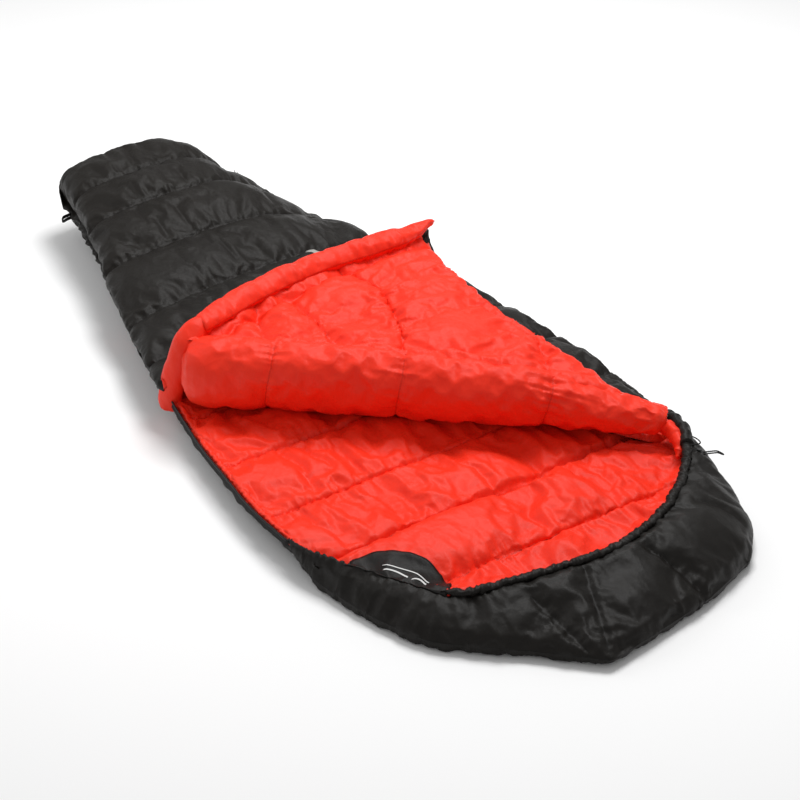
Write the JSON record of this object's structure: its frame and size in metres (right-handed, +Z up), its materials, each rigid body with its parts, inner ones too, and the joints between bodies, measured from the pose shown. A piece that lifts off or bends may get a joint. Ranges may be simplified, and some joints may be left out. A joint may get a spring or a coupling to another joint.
{
  "type": "mummy sleeping bag",
  "caption": "Down mummy sleeping bag lying flat, unzipped with its top corner folded back, with a drawcord hood, footbox, two-way side zip and draft tube.",
  "frame": {"origin": "on the ground under the middle of the bag", "axes": "+X from the foot to the hood, +Y from the zip side to the seamed side, +Z up"},
  "size_m": [2.1685, 0.9501, 0.247],
  "materials": {
    "shell_fabric": "satin",
    "lining_fabric": "satin",
    "down_fill": "matt",
    "black_webbing": "matt",
    "cord": "matt",
    "zip_coil": "satin",
    "lock_plastic": "satin",
    "zip_metal": "satin"
  },
  "bodies": {
    "bag": {"back_shell": "shell_fabric", "back_lining": "lining_fabric", "back_down_01": "down_fill", "back_down_02": "down_fill", "back_down_03": "down_fill", "back_down_04": "down_fill", "back_down_05": "down_fill", "back_down_06": "down_fill", "back_down_07": "down_fill", "back_down_08": "down_fill", "back_down_09": "down_fill", "back_down_10": "down_fill", "top_shell": "shell_fabric", "top_lining": "lining_fabric", "top_down_01": "down_fill", "top_down_02": "down_fill", "top_down_03": "down_fill", "top_down_04": "down_fill", "top_down_05": "down_fill", "top_down_06": "down_fill", "footbox_shell": "shell_fabric", "footbox_down": "down_fill", "footbox_lining": "lining_fabric", "side_seam_tape": "black_webbing", "zip_tape_back": "black_webbing", "zip_coil_back": "zip_coil", "zip_tape_top": "black_webbing", "zip_coil_top": "zip_coil", "zip_guard_strip": "lining_fabric", "neck_patch": "black_webbing"},
    "flap": {"flap_shell": "shell_fabric", "flap_lining": "lining_fabric", "flap_down_01": "down_fill", "flap_down_02": "down_fill", "flap_down_03": "down_fill", "flap_down_04": "down_fill", "draft_tube": "lining_fabric", "draft_tube_down": "down_fill", "flap_zip_tape": "black_webbing", "flap_zip_coil": "zip_coil", "neck_binding": "black_webbing", "zip_tab": "black_webbing"},
    "hood": {"hood_base_shell": "shell_fabric", "hood_lining": "lining_fabric", "hood_down": "down_fill", "hood_panel_near": "shell_fabric", "hood_panel_wedge": "shell_fabric", "hood_panel_centre": "shell_fabric", "hood_panel_far": "shell_fabric", "hood_rim_channel": "shell_fabric", "hood_drawcord": "cord"},
    "slider_upper": {"slider_upper": "zip_metal"},
    "pull_upper": {"pull_upper": "cord"},
    "slider_lower": {"slider_lower": "zip_metal"},
    "pull_lower": {"pull_lower": "zip_metal"},
    "hang_loop_near": {"hang_loop_near": "black_webbing"},
    "hang_loop_far": {"hang_loop_far": "black_webbing"},
    "cord_lock": {"cord_lock": "lock_plastic", "cord_lock_spring": "zip_metal"},
    "cord_button": {"cord_button": "lock_plastic"}
  },
  "joints": [
    {"name": "flap_fold", "type": "hinge", "parent": "bag", "child": "flap", "pos_m": [-0.13, -0.415, 0.145], "axis": [0.6546, 0.756, 0], "range_deg": [0, 179]},
    {"name": "hood_tilt", "type": "hinge", "parent": "bag", "child": "hood", "pos_m": [0.75, 0, 0.052], "axis": [0.2157, -0.9765, 0], "range_deg": [0, 40]},
    {"name": "slider_upper_slide", "type": "slide", "parent": "bag", "child": "slider_upper", "axis": [-0.9774, 0.2114, 0], "range_m": [0, 0.38]},
    {"name": "pull_upper_swing", "type": "hinge", "parent": "slider_upper", "child": "pull_upper", "pos_m": [-0.1615, -0.41545, 0.066], "axis": [-0.9774, 0.2114, 0], "range_deg": [0, 110]},
    {"name": "slider_lower_slide", "type": "slide", "parent": "bag", "child": "slider_lower", "axis": [0.9853, -0.1708, 0], "range_m": [0, 0.24]},
    {"name": "pull_lower_swing", "type": "hinge", "parent": "slider_lower", "child": "pull_lower", "pos_m": [-1.00121, -0.23193, 0.066], "axis": [-0.9853, 0.1708, 0], "range_deg": [0, 110]},
    {"name": "hang_loop_near_swing", "type": "hinge", "parent": "bag", "child": "hang_loop_near", "pos_m": [-1.026, -0.22643, 0.084], "axis": [1, 0, 0], "range_deg": [-50, 55]},
    {"name": "hang_loop_far_swing", "type": "hinge", "parent": "bag", "child": "hang_loop_far", "pos_m": [-1.026, 0.22643, 0.084], "axis": [1, 0, 0], "range_deg": [-50, 55]},
    {"name": "cord_lock_slide", "type": "slide", "parent": "hood", "child": "cord_lock", "axis": [0.3489, 0.9371, 0], "range_m": [0, 0.04]},
    {"name": "cord_button_press", "type": "slide", "parent": "cord_lock", "child": "cord_button", "axis": [0, 0, -1], "range_m": [0, 0.004], "stiffness_N_per_m": 400, "springref_m": -0.002, "deforming": ["cord_lock_spring"]}
  ]
}
